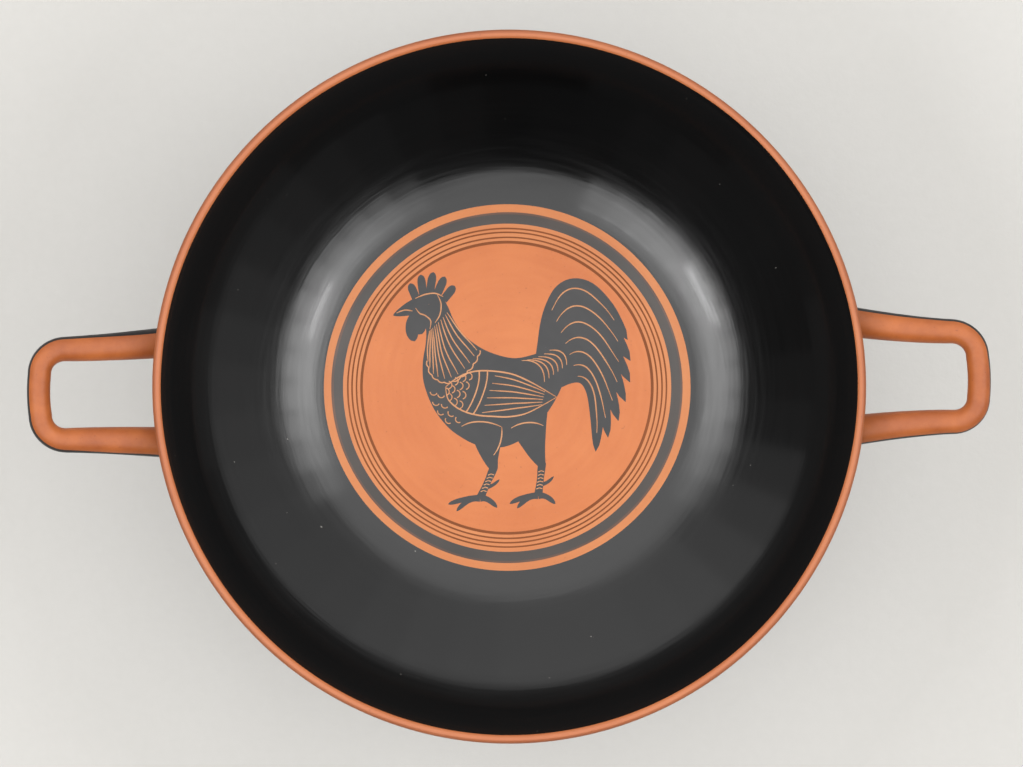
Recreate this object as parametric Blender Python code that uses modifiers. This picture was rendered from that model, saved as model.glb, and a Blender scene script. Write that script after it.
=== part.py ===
"""Greek kylix: a wide, shallow drinking cup on a stemmed foot, with two looped handles at its sides.

Metres, +Z up. The cup stands on its foot at z = 0, its axis is Z, and the handles reach out along X.
The bowl, the stemmed foot and the handles were joined while damp and fired as one, so they are one solid.
"""

import math

import bmesh
import bpy
from mathutils import Vector
from mathutils.geometry import interpolate_bezier

# Bowl
RIM_DIAMETER = 0.300
CUP_HEIGHT = 0.125
BOWL_DEPTH = 0.067
LIP_LEAN = math.radians(54.0)
LIP_THICKNESS = 0.0040
FLOOR_THICKNESS = 0.0070

# Stem and foot
STEM_DIAMETER = 0.030
STEM_WAIST_ABOVE_FOOT = 0.020
STEM_BLEND_DIAMETER = 0.092
FOOT_DIAMETER = 0.122
FOOT_EDGE_HEIGHT = 0.0115
FOOT_EDGE_BULGE = 0.0045
FOOT_STEP_DROP = 0.0009
FOOT_STEP_INSET = 0.0050
RESTING_RING_WIDTH = 0.0070
FOOT_WALL = 0.0070

# Where the curves of the stem and foot start and end, how far each end keeps its direction
BOWL_PULL = 0.50
WAIST_PULL_UP = 0.55
WAIST_PULL_DOWN = 0.62
FOOT_PULL = 0.55
FOOT_TOP_RISE = 0.06
HOLLOW_TOP_RISE = 0.10

# Handles. Each is a round bar bent into a three-sided loop that rises outwards. They were shaped and set
# by hand: each sits a little off the X axis, and the right one is wider at its roots and points askew
HANDLE_REACH_LEFT = 0.2032
HANDLE_REACH_RIGHT = 0.2039
HANDLE_ROOT_SPREAD_LEFT = 0.0453
HANDLE_ROOT_SPREAD_RIGHT = 0.0525
HANDLE_SHIFT_LEFT = 0.0010
HANDLE_SHIFT_RIGHT = 0.0017
HANDLE_SKEW_LEFT = math.radians(-0.1)
HANDLE_SKEW_RIGHT = math.radians(-1.9)
HANDLE_TIP_SPREAD = 0.0385
HANDLE_TIP_BOW = 0.0005
HANDLE_CORNER_RADIUS = 0.0105
HANDLE_ARM_CURVE = 1.5
HANDLE_TIP_DIAMETER = 0.0097
HANDLE_ROOT_DIAMETER = 0.0142
HANDLE_ROOT_BELOW_LIP = 0.027
HANDLE_TIP_BELOW_LIP = 0.0065
HANDLE_UPTURN = 0.30
HANDLE_BURIED_LENGTH = 0.034

# How finely the round shapes are cut into flat faces
TURN_STEPS = 64
INSIDE_STEPS = 11
OUTSIDE_STEPS = 8
LIP_STEPS = 6
STEM_CURVE_STEPS = 6
FOOT_EDGE_STEPS = 6
DOME_STEPS = 3
ARM_STEPS = 9
CORNER_STEPS = 5
BAR_RESOLUTION = 3

# The lip is a half-round bead between the wall's two faces
RIM_RADIUS = RIM_DIAMETER / 2
LIP_BEAD = LIP_THICKNESS / 2
MOUTH_RADIUS = RIM_RADIUS - LIP_BEAD * (1 + math.sin(LIP_LEAN))
MOUTH_Z = CUP_HEIGHT - LIP_BEAD * (1 - math.cos(LIP_LEAN))
FLOOR_Z = CUP_HEIGHT - BOWL_DEPTH
INSIDE_RISE = MOUTH_Z - FLOOR_Z

# The inside is part of an ellipse that leans by LIP_LEAN at the mouth. Its slope on the axis is nil
ELLIPSE_END = 1 / (math.tan(LIP_LEAN) * MOUTH_RADIUS / INSIDE_RISE - 1)

STEM_RADIUS = STEM_DIAMETER / 2
WAIST_Z = FOOT_EDGE_HEIGHT + STEM_WAIST_ABOVE_FOOT
FOOT_EDGE_RADIUS = FOOT_DIAMETER / 2 - FOOT_EDGE_BULGE


def inside_of_bowl(share):
    """The radius, height and slope angle of the bowl's inside, at a share of the mouth's radius."""
    end = ELLIPSE_END
    depth = math.sqrt(1 - (1 - end * end) * share * share)
    height = FLOOR_Z + INSIDE_RISE * (1 - depth) / (1 - end)
    steepness = INSIDE_RISE / MOUTH_RADIUS * (1 + end) * share / depth
    return MOUTH_RADIUS * share, height, math.atan(steepness)


def under_bowl(share, wall_share=1.0):
    """The point below the inside's, through wall_share of the wall, as a radius and height."""
    radius, height, slope = inside_of_bowl(share)
    wall = LIP_THICKNESS + (FLOOR_THICKNESS - LIP_THICKNESS) * (1 - share)
    return radius + wall_share * wall * math.sin(slope), height - wall_share * wall * math.cos(slope)


def outside_radius(height):
    """The radius of the bowl's outside at a height, found by halving the share."""
    low, high = 0.0, 1.0
    for _ in range(40):
        share = (low + high) / 2
        if under_bowl(share)[1] < height:
            low = share
        else:
            high = share
    return under_bowl(low)[0]


def arc(centre, across, up, start, end, steps):
    """Points on an ellipse about centre, from the start angle to the end angle."""
    angles = [start + (end - start) * i / steps for i in range(steps + 1)]
    return [(centre[0] + across * math.cos(a), centre[1] + up * math.sin(a)) for a in angles]


def sweep(start, start_pull, end_pull, end):
    """Points on a Bezier curve between two points, without its first one."""
    corners = [Vector((x, z, 0)) for x, z in (start, start_pull, end_pull, end)]
    return [(p.x, p.y) for p in interpolate_bezier(*corners, STEM_CURVE_STEPS + 1)][1:]


def bowl_inside_profile():
    """The bowl's inside, from the middle of the floor out to the mouth."""
    shares = [i / INSIDE_STEPS for i in range(INSIDE_STEPS + 1)]
    return [inside_of_bowl(s)[:2] for s in shares]


def lip_profile():
    """The half-round lip, from just past the mouth to just short of the wall's outside."""
    centre = (RIM_RADIUS - LIP_BEAD, CUP_HEIGHT - LIP_BEAD)
    start = LIP_LEAN + math.pi / 2
    return arc(centre, LIP_BEAD, LIP_BEAD, start, start - math.pi, LIP_STEPS)[1:-1]


def bowl_outside_profile(last_share):
    """The bowl's outside, from the lip down to where the stem's curve takes over."""
    return [under_bowl(1 + (last_share - 1) * i / OUTSIDE_STEPS) for i in range(OUTSIDE_STEPS + 1)]


def stem_profile(last_share):
    """The outside of the stem and the top of the foot, below the bowl."""
    bowl_radius, bowl_z = under_bowl(last_share)
    slope = math.tan(inside_of_bowl(last_share)[2])
    waist = (STEM_RADIUS, WAIST_Z)
    pull = BOWL_PULL * (bowl_radius - STEM_RADIUS)
    bowl_pull = (bowl_radius - pull, bowl_z - pull * slope)
    waist_pull_up = (STEM_RADIUS, WAIST_Z + WAIST_PULL_UP * (bowl_z - WAIST_Z))
    upper = sweep((bowl_radius, bowl_z), bowl_pull, waist_pull_up, waist)

    step_radius, step_z = FOOT_EDGE_RADIUS - FOOT_STEP_INSET, FOOT_EDGE_HEIGHT + FOOT_STEP_DROP
    run = step_radius - STEM_RADIUS
    waist_pull_down = (STEM_RADIUS, WAIST_Z - WAIST_PULL_DOWN * (WAIST_Z - step_z))
    step_pull = (step_radius - FOOT_PULL * run, step_z + FOOT_TOP_RISE * run)
    lower = sweep(waist, waist_pull_down, step_pull, (step_radius, step_z))
    return upper + lower


def foot_edge_profile():
    """The small step on the foot, its rounded edge, and the flat ring that it rests on."""
    middle = FOOT_EDGE_HEIGHT / 2
    inset = FOOT_EDGE_RADIUS - FOOT_STEP_INSET
    half_turn = (math.pi / 2, -math.pi / 2)
    edge = arc((FOOT_EDGE_RADIUS, middle), FOOT_EDGE_BULGE, middle, *half_turn, FOOT_EDGE_STEPS)
    return [(inset + FOOT_STEP_DROP / 2, FOOT_EDGE_HEIGHT), *edge, (FOOT_EDGE_RADIUS - RESTING_RING_WIDTH, 0)]


def foot_hollow_profile():
    """The hollow under the foot, from the resting ring up into the stem, a foot wall in from the outside."""
    shoulder_radius = FOOT_EDGE_RADIUS - RESTING_RING_WIDTH - FOOT_WALL / 2
    shoulder_z = FOOT_EDGE_HEIGHT + FOOT_STEP_DROP - FOOT_WALL
    shoulder = (shoulder_radius, shoulder_z)
    throat_radius = STEM_RADIUS - FOOT_WALL
    run = shoulder_radius - throat_radius
    roof_pull = (shoulder_radius - FOOT_PULL * run, shoulder_z + HOLLOW_TOP_RISE * run)
    throat_pull = (throat_radius, WAIST_Z - WAIST_PULL_DOWN * (WAIST_Z - shoulder_z))
    roof = sweep(shoulder, roof_pull, throat_pull, (throat_radius, WAIST_Z))
    dome = arc((0, WAIST_Z), throat_radius, throat_radius, 0, math.pi / 2, DOME_STEPS)[1:]
    return [shoulder, *roof, *dome]


def cup_profile():
    """The whole cup without handles: up the inside, over the lip, down the outside and back under the foot."""
    last_share = STEM_BLEND_DIAMETER / 2 / MOUTH_RADIUS
    inside = bowl_inside_profile() + lip_profile()
    outside = bowl_outside_profile(last_share) + stem_profile(last_share)
    return inside + outside + foot_edge_profile() + foot_hollow_profile()


def turned(name, profile):
    """A closed shape turned about Z from a profile of radii and heights that starts and ends on the axis."""
    mesh = bpy.data.meshes.new(name)
    points = [(radius, 0, height) for radius, height in profile]
    mesh.from_pydata(points, [(i, i + 1) for i in range(len(points) - 1)], [])
    turned_object = bpy.data.objects.new(name, mesh)
    screw = turned_object.modifiers.new("turn", "SCREW")
    screw.axis = "Z"
    screw.steps = screw.render_steps = TURN_STEPS
    screw.use_merge_vertices = True
    screw.merge_threshold = 0.00002
    screw.use_smooth_shade = True
    return turned_object


def wall_core():
    """A solid that fills the bowl out to the middle of its wall. The handles are cut back to it."""
    shares = [i / INSIDE_STEPS for i in range(INSIDE_STEPS + 1)]
    wall_middle = [under_bowl(s, 0.5) for s in shares]
    lid_height = CUP_HEIGHT + HANDLE_ROOT_DIAMETER
    profile = [(0, lid_height), (wall_middle[-1][0], lid_height)] + wall_middle[::-1]
    return turned("wall_core", profile)


def handle_plan(reach, root_spread):
    """Half of a handle's centreline seen from above, from inside the bowl to the middle of its outer bar."""
    outer_bar = reach - HANDLE_TIP_DIAMETER / 2
    corner_bar = outer_bar - HANDLE_TIP_BOW
    tip_half, root_half = HANDLE_TIP_SPREAD / 2, root_spread / 2
    corner = HANDLE_CORNER_RADIUS
    wall = outside_radius(CUP_HEIGHT - HANDLE_ROOT_BELOW_LIP)
    start = wall - HANDLE_BURIED_LENGTH
    arm_end = corner_bar - corner
    arm = []
    for i in range(ARM_STEPS):
        x = start + (arm_end - start) * i / ARM_STEPS
        spread = ((arm_end - x) / (arm_end - wall)) ** HANDLE_ARM_CURVE
        arm.append((x, tip_half + (root_half - tip_half) * spread))
    bend = arc((arm_end, tip_half - corner), corner, corner, math.pi / 2, 0, CORNER_STEPS)
    return arm + bend + [(outer_bar, 0)]


def bar_radius(x, wall, reach):
    """The bar's radius at x. It thins evenly from the bowl to the outer bar."""
    root, tip = HANDLE_ROOT_DIAMETER / 2, HANDLE_TIP_DIAMETER / 2
    outwards = min(max((x - wall) / (reach - tip - wall), 0), 1)
    return root + (tip - root) * outwards


def bar_height(x, wall, reach):
    """The height of the bar's centre at x. It leaves the bowl low and turns up a little on its way out."""
    outwards = (x - wall) / (reach - wall)
    lift = (1 - HANDLE_UPTURN) * outwards + HANDLE_UPTURN * outwards * outwards
    return CUP_HEIGHT - HANDLE_ROOT_BELOW_LIP + (HANDLE_ROOT_BELOW_LIP - HANDLE_TIP_BELOW_LIP) * lift


def handle(name, side, reach, root_spread, shift, skew):
    """One handle as a closed mesh, on the side +1 or -1 of the bowl along X, out to its reach from the axis.

    Its roots are root_spread apart, with their middle shifted along Y, and it points askew by an angle.
    """
    half = handle_plan(reach, root_spread)
    plan = half + [(x, -y) for x, y in half[-2::-1]]
    wall = outside_radius(CUP_HEIGHT - HANDLE_ROOT_BELOW_LIP)

    curve = bpy.data.curves.new(name, "CURVE")
    curve.dimensions = "3D"
    curve.bevel_depth = 1.0
    curve.bevel_resolution = BAR_RESOLUTION
    curve.use_fill_caps = True
    spline = curve.splines.new("POLY")
    spline.points.add(len(plan) - 1)
    for point, (x, y) in zip(spline.points, plan):
        across = side * y + shift + (x - wall) * math.tan(skew)
        point.co = (side * x, across, bar_height(x, wall, reach), 1)
        point.radius = bar_radius(x, wall, reach)
    bent_bar = bpy.data.objects.new(name + "_bar", curve)
    bpy.context.scene.collection.objects.link(bent_bar)

    evaluated = bent_bar.evaluated_get(bpy.context.evaluated_depsgraph_get())
    mesh = bpy.data.meshes.new_from_object(evaluated)
    solid = bmesh.new()
    solid.from_mesh(mesh)
    bmesh.ops.remove_doubles(solid, verts=solid.verts, dist=0.00001)
    solid.to_mesh(mesh)
    solid.free()
    handle_object = bpy.data.objects.new(name, mesh)
    handle_object.matrix_world = bent_bar.matrix_world
    bpy.data.objects.remove(bent_bar)
    return handle_object


def cut_or_join(target, other, operation):
    """Adds a Boolean of another object to the target."""
    boolean = target.modifiers.new(other.name, "BOOLEAN")
    boolean.operation = operation
    boolean.object = other
    boolean.solver = "EXACT"


def glazed_clay():
    """Black gloss slip over fired clay."""
    material = bpy.data.materials.new("black_glazed_clay")
    material.use_nodes = True
    shader = material.node_tree.nodes["Principled BSDF"]
    shader.inputs["Base Color"].default_value = (0.022, 0.021, 0.021, 1)
    shader.inputs["Roughness"].default_value = 0.32
    shader.inputs["Metallic"].default_value = 0.0
    return material


def main():
    for old in list(bpy.data.objects):
        bpy.data.objects.remove(old)
    parts = bpy.data.collections.new("kylix")
    helpers = bpy.data.collections.new("cutters")
    for collection in (parts, helpers):
        bpy.context.scene.collection.children.link(collection)

    core = wall_core()
    left = (HANDLE_REACH_LEFT, HANDLE_ROOT_SPREAD_LEFT, HANDLE_SHIFT_LEFT, HANDLE_SKEW_LEFT)
    right = (HANDLE_REACH_RIGHT, HANDLE_ROOT_SPREAD_RIGHT, HANDLE_SHIFT_RIGHT, HANDLE_SKEW_RIGHT)
    handles = [handle("handle_left", -1, *left), handle("handle_right", 1, *right)]
    for helper in [core, *handles]:
        helpers.objects.link(helper)
        helper.hide_render = True
        helper.display_type = "WIRE"

    cup = turned("kylix_cup", cup_profile())
    cup.data.materials.append(glazed_clay())
    parts.objects.link(cup)
    for looped_handle in handles:
        cut_or_join(looped_handle, core, "DIFFERENCE")
        cut_or_join(cup, looped_handle, "UNION")


main()
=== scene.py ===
"""The looks of a black-glazed Greek kylix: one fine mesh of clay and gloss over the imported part.

Metres, +Z up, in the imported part's frame. The picture on the bowl's floor is drawn in millimetres.
"""

import math
import random

import bpy
import numpy as np
from mathutils import Matrix, Vector, kdtree, noise
from mathutils.geometry import delaunay_2d_cdt


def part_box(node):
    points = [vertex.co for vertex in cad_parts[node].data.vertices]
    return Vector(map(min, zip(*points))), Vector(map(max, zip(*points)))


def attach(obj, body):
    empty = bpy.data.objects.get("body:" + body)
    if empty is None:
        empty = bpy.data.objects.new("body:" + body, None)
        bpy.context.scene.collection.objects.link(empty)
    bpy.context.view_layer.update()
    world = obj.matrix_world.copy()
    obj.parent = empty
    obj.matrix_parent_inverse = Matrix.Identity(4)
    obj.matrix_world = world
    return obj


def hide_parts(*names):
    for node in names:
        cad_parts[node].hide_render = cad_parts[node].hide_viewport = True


MM = 0.001

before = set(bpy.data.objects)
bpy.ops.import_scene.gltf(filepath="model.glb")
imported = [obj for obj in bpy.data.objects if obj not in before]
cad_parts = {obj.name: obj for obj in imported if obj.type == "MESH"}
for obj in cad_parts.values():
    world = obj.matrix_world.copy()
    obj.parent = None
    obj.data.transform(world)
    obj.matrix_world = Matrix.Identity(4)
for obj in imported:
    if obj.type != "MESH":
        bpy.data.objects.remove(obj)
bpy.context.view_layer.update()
CUP_LOW, CUP_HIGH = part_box("kylix_cup")

# Camera. The photograph looks almost straight down
PHOTO_WIDTH = 1023
PHOTO_CENTRE_PX = (511.5, 383.5)
RIM_CENTRE_PX = (510.2, 386.0)
RIM_WIDTH_PX = 715.5
CAMERA_DISTANCE = 1.3
CAMERA_LEAN = (-0.0239, -0.0126)
CAMERA_ROLL = math.radians(1.35)
SENSOR_WIDTH = 36.0

# Bowl, in the part's own sizes
RIM_RADIUS = CUP_HIGH.y
CUP_HEIGHT = CUP_HIGH.z
BOWL_DEPTH = 0.067
LIP_LEAN = math.radians(54.0)
LIP_THICKNESS = 0.004
FLOOR_THICKNESS = 0.007
LIP_BEAD = LIP_THICKNESS / 2
MOUTH_RADIUS = RIM_RADIUS - LIP_BEAD * (1 + math.sin(LIP_LEAN))
MOUTH_Z = CUP_HEIGHT - LIP_BEAD * (1 - math.cos(LIP_LEAN))
FLOOR_Z = CUP_HEIGHT - BOWL_DEPTH
INSIDE_RISE = MOUTH_Z - FLOOR_Z
ELLIPSE_END = 1 / (math.tan(LIP_LEAN) * MOUTH_RADIUS / INSIDE_RISE - 1)

# Stem and foot
STEM_RADIUS = 0.015
STEM_BLEND_RADIUS = 0.046
FOOT_RADIUS = 0.061
FOOT_EDGE_HEIGHT = 0.0115
FOOT_EDGE_BULGE = 0.0045
FOOT_STEP_DROP = 0.0009
FOOT_STEP_INSET = 0.005
RESTING_RING_WIDTH = 0.007
FOOT_WALL = 0.007
FOOT_EDGE_RADIUS = FOOT_RADIUS - FOOT_EDGE_BULGE
WAIST_Z = FOOT_EDGE_HEIGHT + 0.02
BOWL_PULL = 0.5
WAIST_PULL_UP = 0.55
WAIST_PULL_DOWN = 0.62
FOOT_PULL = 0.55
FOOT_TOP_RISE = 0.06
HOLLOW_TOP_RISE = 0.1

# Handles
HANDLE_TIP_SPREAD = 0.0385
HANDLE_TIP_BOW = 0.0005
HANDLE_CORNER_RADIUS = 0.0105
HANDLE_ARM_CURVE = 1.5
HANDLE_TIP_DIAMETER = 0.0097
HANDLE_ROOT_DIAMETER = 0.0142
HANDLE_ROOT_BELOW_LIP = 0.027
HANDLE_TIP_BELOW_LIP = 0.0065
HANDLE_UPTURN = 0.3
HANDLE_BURIED_LENGTH = 0.034

# What differs between the handles. The edge is how far the outer side's black shows from above, in mm, at
# even steps round the loop, anticlockwise
LEFT_HANDLE = dict(root_spread=0.0453, shift=0.001, skew=math.radians(-0.1),
                   edge=(1.1, 0.6, 0.9, 1.4, 1.2, 1.2, 1.1, 1.7, 2.4))
RIGHT_HANDLE = dict(root_spread=0.0525, shift=0.0017, skew=math.radians(-1.9),
                    edge=(1.35, 1.2, 0.9, 1.3, 0.65, 0.6, 0.7, 0.9, 0.7))

# The handles' black: the turn where it ends under the inner side, its waver, and the steps that smooth it
BLACK_END = np.radians(-118)
BLACK_WAVER = 0.04
BLACK_SMOOTHING = 13

# How finely the mesh is cut. The picture's grid is in mm
TURN_STEPS = 256
TURNS = np.arange(TURN_STEPS) * 2 * math.pi / TURN_STEPS
PROFILE_STEPS = 500
ARM_STEPS = 46
CORNER_STEPS = 14
OUTER_BAR_STEPS = 8
PATH_STEP = 0.0001
RING_SPACING = 0.003
BAR_STEPS = 32
GRID_STEP = 2.4
GRID_ROW = 0.87
GRID_MARGIN = 0.6

# Where the handles meet the bowl: how far the clay spreads, and over what distance
FILLET = 0.003
FILLET_REACH = 0.0075

# The bare panels between each handle's roots: their start below the lip, lower radius and half their steps
PANEL_START = 0.002
PANEL_FOOT_RADIUS = 0.117
PANEL_HALF = 4

# How high the grain of bare clay stands, and its wheel marks
GRAIN_HEIGHT = 0.03 * MM

# The picture, in mm: its scale and place, and the size and length of the hand's waver, which is read in two
# places, for sideways and upwards. The scratches' depth is in metres
PICTURE_SCALE = 1.04
PICTURE_SHIFT = (0.6, 0.6)
WAVER_SIZE = 0.25
WAVER_LENGTH = 9.0
WAVER_APART = Vector((17.3, 8.6, 4.1))
SCRATCH_DEPTH = 0.00018

# The cup's material slots, in the order of finish_materials. LID marks a stand-in for the picture
(GLAZE, THIN_GLAZE, LINE, FIELD, LIP, BARE, SCRATCH,
 FIGURE, BAND_GLAZE, RING, LIP_SHADE, OUTER_GLAZE, LID) = range(13)

# The borders inside the bowl, in mm from its axis: the picture's edge, the wide line, the thin lines with
# their seeds, and the bands outside them, each with its finish, outer radius, seed and waver
PICTURE_EDGE = 63.1
WIDE_LINE_END = 64.3
THIN_LINES = ((65.5, 66.2, 10), (67.5, 68.2, 20), (69.3, 70.0, 30))
INNER_BANDS = ((RING, 71.7, 40, 0.12), (BAND_GLAZE, 75.7, 41, 0.18),
               (THIN_GLAZE, 76.6, 42, 0.25), (RING, 79.9, 43, 0.12))
SHARED_WAVER = 0.16
LINE_WAVER = 0.05
WIDE_LINE_WAVER = 0.06

# In mm along the wall: where the black stops below the mouth, and where the lip's outer edge, painted darker
# as shade where it turns down, starts and ends
BLACK_BELOW_MOUTH = 0.2
LIP_SHADE_START = 2.1
LIP_SHADE_END = 2.2

# The bands round the bowl's outside, each with its finish, lower radius in mm, seed and waver, and the foot's
OUTER_BANDS = ((GLAZE, 117.0, 46, 0.0), (GLAZE, 97.0, 47, 0.2), (BARE, 93.5, 48, 0.1), (LINE, 92.6, 49, 0.1),
               (BARE, 90.0, 50, 0.1), (LINE, 88.4, 51, 0.1), (BARE, 85.8, 52, 0.1), (LINE, 84.9, 53, 0.1),
               (BARE, 81.4, 54, 0.1))
FOOT_BLACK_END = 0.8
FOOT_BARE_END = 5.0

# Lights, in metres, degrees and radiance. The ceiling has a width, length and radiance. Each bank has
# turns, the radiance at each, and its lean before and after BANK_LEAN_TURNS. A lamp, named for the side where
# it shines, has a turn, lean, width, length and radiance. The walls' radiances go round from the front, at
# -90, every 20 degrees, and the low walls' from -60, every 30
CEILING_HEIGHT = 1.6
CEILING = (3.8, 3.8, 2.3)
BANKS = (((-62, -50, -35, -20, 0, 15, 28), (0.8, 2.5, 3.7, 5.2, 5.1, 3.6, 0.8), (49.5, 49.5)),
         ((148, 160, 175, 190, 210, 225, 240, 250), (0.8, 2.6, 4.2, 4.6, 4.5, 3.6, 2.2, 0.6), (48.8, 46.9)))
BANK_LEAN_TURNS = (190, 235)
BANK_STEP = 8
BANK_DISTANCE = 2.0
BANK_BOX = (0.205, 0.36)
LAMPS = (("right_lamp", 204, 49.0, 0.46, 0.022, 26.0), ("left_lamp", -22, 47.6, 0.42, 0.03, 11.0))
LAMP_DISTANCE = 1.95
WALLS = (0.03, 0.08, 0.17, 0.3, 0.55, 0.73, 0.9, 1.0, 1.2, 1.34,
         1.34, 1.22, 0.75, 0.2, 0.08, 0.1, 0.1, 0.05)
WALL_BOX = (0.525, 1.99)
WALL_MIDDLE = 1.655
LOW_WALLS = (0.07, 0.15, 0.22, 0.16, 0.13, 0.15, 0.15, 0.15, 0.15, 0.1, 0.06)
LOW_WALL_BOX = (1.6, 0.62)
LOW_WALL_MIDDLE = 0.34
WALL_DISTANCE = 3
BACKDROP = (0.84, 0.83, 0.8, 1)
BACKDROP_SEEN = 0.9
BACKDROP_LIGHT = 0.05

# The floor: its side, where its paler middle, painted light that lifts the cup's shadow, starts to fade and
# ends, and its palest and darkest colours
FLOOR_SIZE = 5
PAINTED_LIGHT_FADE = (0.155, 0.235)
FLOOR_PALE = (0.52, 0.51, 0.488)
FLOOR_DARK = (0.428, 0.417, 0.396)


def bowl_inside(share):
    """Radii, heights and slopes of the bowl's inside, at shares of the mouth's radius."""
    depth = np.sqrt(1 - (1 - ELLIPSE_END ** 2) * share * share)
    height = FLOOR_Z + INSIDE_RISE * (1 - depth) / (1 - ELLIPSE_END)
    slope = np.arctan(INSIDE_RISE / MOUTH_RADIUS * (1 + ELLIPSE_END) * share / depth)
    return MOUTH_RADIUS * share, height, slope


def bowl_outside(share):
    """Radii and heights of the bowl's outside, a wall's thickness below the inside."""
    radius, height, slope = bowl_inside(share)
    wall = LIP_THICKNESS + (FLOOR_THICKNESS - LIP_THICKNESS) * (1 - share)
    return radius + wall * np.sin(slope), height - wall * np.cos(slope)


def arc(centre, across, up, start, end, steps=60):
    """Points on an ellipse about centre, from the start angle to the end angle."""
    angles = np.linspace(start, end, steps)
    return np.column_stack([centre[0] + across * np.cos(angles), centre[1] + up * np.sin(angles)])


def sweep(*corners, steps=120):
    """Points on a Bezier curve with four corners."""
    t = np.linspace(0, 1, steps)[:, None]
    a, b, c, d = (np.array(corner, float) for corner in corners)
    return (1 - t) ** 3 * a + 3 * t * (1 - t) ** 2 * b + 3 * t * t * (1 - t) * c + t ** 3 * d


def profile_stretches():
    """The profile in named stretches: up the inside, over the lip, down the outside and under the foot."""
    inside = np.column_stack(bowl_inside(np.linspace(0, 1, PROFILE_STEPS))[:2])
    lip_centre = (RIM_RADIUS - LIP_BEAD, CUP_HEIGHT - LIP_BEAD)
    lip_start = LIP_LEAN + math.pi / 2
    lip = arc(lip_centre, LIP_BEAD, LIP_BEAD, lip_start, lip_start - math.pi)

    last_share = STEM_BLEND_RADIUS / MOUTH_RADIUS
    outside = np.column_stack(bowl_outside(np.linspace(1, last_share, PROFILE_STEPS)))
    blend_radius, blend_z = outside[-1]
    slope = math.tan(bowl_inside(np.array([last_share]))[2][0])
    pull = BOWL_PULL * (blend_radius - STEM_RADIUS)
    waist = (STEM_RADIUS, WAIST_Z)
    upper = sweep((blend_radius, blend_z), (blend_radius - pull, blend_z - pull * slope),
                  (STEM_RADIUS, WAIST_Z + WAIST_PULL_UP * (blend_z - WAIST_Z)), waist)
    step_radius, step_z = FOOT_EDGE_RADIUS - FOOT_STEP_INSET, FOOT_EDGE_HEIGHT + FOOT_STEP_DROP
    run = step_radius - STEM_RADIUS
    lower = sweep(waist, (STEM_RADIUS, WAIST_Z - WAIST_PULL_DOWN * (WAIST_Z - step_z)),
                  (step_radius - FOOT_PULL * run, step_z + FOOT_TOP_RISE * run), (step_radius, step_z))

    middle = FOOT_EDGE_HEIGHT / 2
    step = np.array([(step_radius + FOOT_STEP_DROP / 2, FOOT_EDGE_HEIGHT)])
    edge = arc((FOOT_EDGE_RADIUS, middle), FOOT_EDGE_BULGE, middle, math.pi / 2, -math.pi / 2)
    ring_radius = FOOT_EDGE_RADIUS - RESTING_RING_WIDTH
    shoulder = (ring_radius - FOOT_WALL / 2, step_z - FOOT_WALL)
    throat_radius = STEM_RADIUS - FOOT_WALL
    run = shoulder[0] - throat_radius
    throat_pull = WAIST_Z - WAIST_PULL_DOWN * (WAIST_Z - shoulder[1])
    roof = sweep(shoulder, (shoulder[0] - FOOT_PULL * run, shoulder[1] + HOLLOW_TOP_RISE * run),
                 (throat_radius, throat_pull), (throat_radius, WAIST_Z))
    dome = arc((0, WAIST_Z), throat_radius, throat_radius, 0, math.pi / 2)
    return dict(inside=inside, lip=lip, outside=outside, stem=upper, foot_top=lower,
                foot_edge=np.vstack([step, edge]), resting=np.array([(ring_radius, 0.0)]),
                hollow=roof, dome=dome)


class Path:
    """The profile as one line, measured along its length, with its corners softened."""

    def __init__(self, stretches):
        points = np.vstack(list(stretches.values()))
        keep = np.r_[True, np.hypot(*np.diff(points, axis=0).T) > 1e-7]
        lengths = np.r_[0, np.cumsum(np.hypot(*np.diff(points[keep], axis=0).T))]
        at_points = np.interp(np.arange(len(points)), np.flatnonzero(keep), lengths)
        starts = np.cumsum([0] + [len(s) for s in stretches.values()])[:-1]
        self.start = {name: at_points[i] for name, i in zip(stretches, starts)}
        self.length = lengths[-1]
        self.s = np.linspace(0, self.length, round(self.length / PATH_STEP) + 1)
        line = np.column_stack([np.interp(self.s, lengths, points[keep][:, k]) for k in (0, 1)])
        window = 5
        padded = np.vstack([np.repeat(line[:1], window // 2, 0), line, np.repeat(line[-1:], window // 2, 0)])
        soft = np.column_stack([np.convolve(padded[:, k], np.ones(window) / window, "valid") for k in (0, 1)])
        soft[0], soft[-1] = line[0], line[-1]
        soft[:, 1] = np.maximum(soft[:, 1], 0)
        self.line = soft
        tangent = np.gradient(soft, axis=0)
        tangent /= np.hypot(*tangent.T)[:, None]
        self.normal = np.column_stack([-tangent[:, 1], tangent[:, 0]])

    def at(self, s):
        """Radius, height and the normal's two parts at lengths s along the path."""
        point = [np.interp(s, self.s, self.line[:, k]) for k in (0, 1)]
        normal = [np.interp(s, self.s, self.normal[:, k]) for k in (0, 1)]
        return (*point, *normal)

    def inside(self, radius):
        """The length along the path where the bowl's inside has this radius."""
        last = np.searchsorted(self.s, self.start["lip"])
        return float(np.interp(radius, self.line[:last, 0], self.s[:last]))

    def outside(self, radius):
        """The length along the path where the bowl's outside has this radius."""
        first = np.searchsorted(self.s, self.start["outside"])
        last = np.searchsorted(self.s, self.start["stem"])
        return float(np.interp(-radius, -self.line[first:last, 0], self.s[first:last]))


PATH = Path(profile_stretches())


def unit(vectors):
    """The vectors, each brought to length one."""
    return vectors / np.linalg.norm(vectors, axis=-1)[..., None]


def sway(seed, size):
    """A slow, hand-made waver of up to about size, at each of the turn's steps."""
    draw = random.Random(seed)
    waves = [(cycles, draw.uniform(0, 2 * math.pi), draw.uniform(0.5, 1) / cycles ** 0.6)
             for cycles in (1, 2, 3, 5, 8, 13)]
    total = sum(weight for _, _, weight in waves)
    return size / total * sum(weight * np.sin(cycles * TURNS + phase) for cycles, phase, weight in waves)


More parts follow.
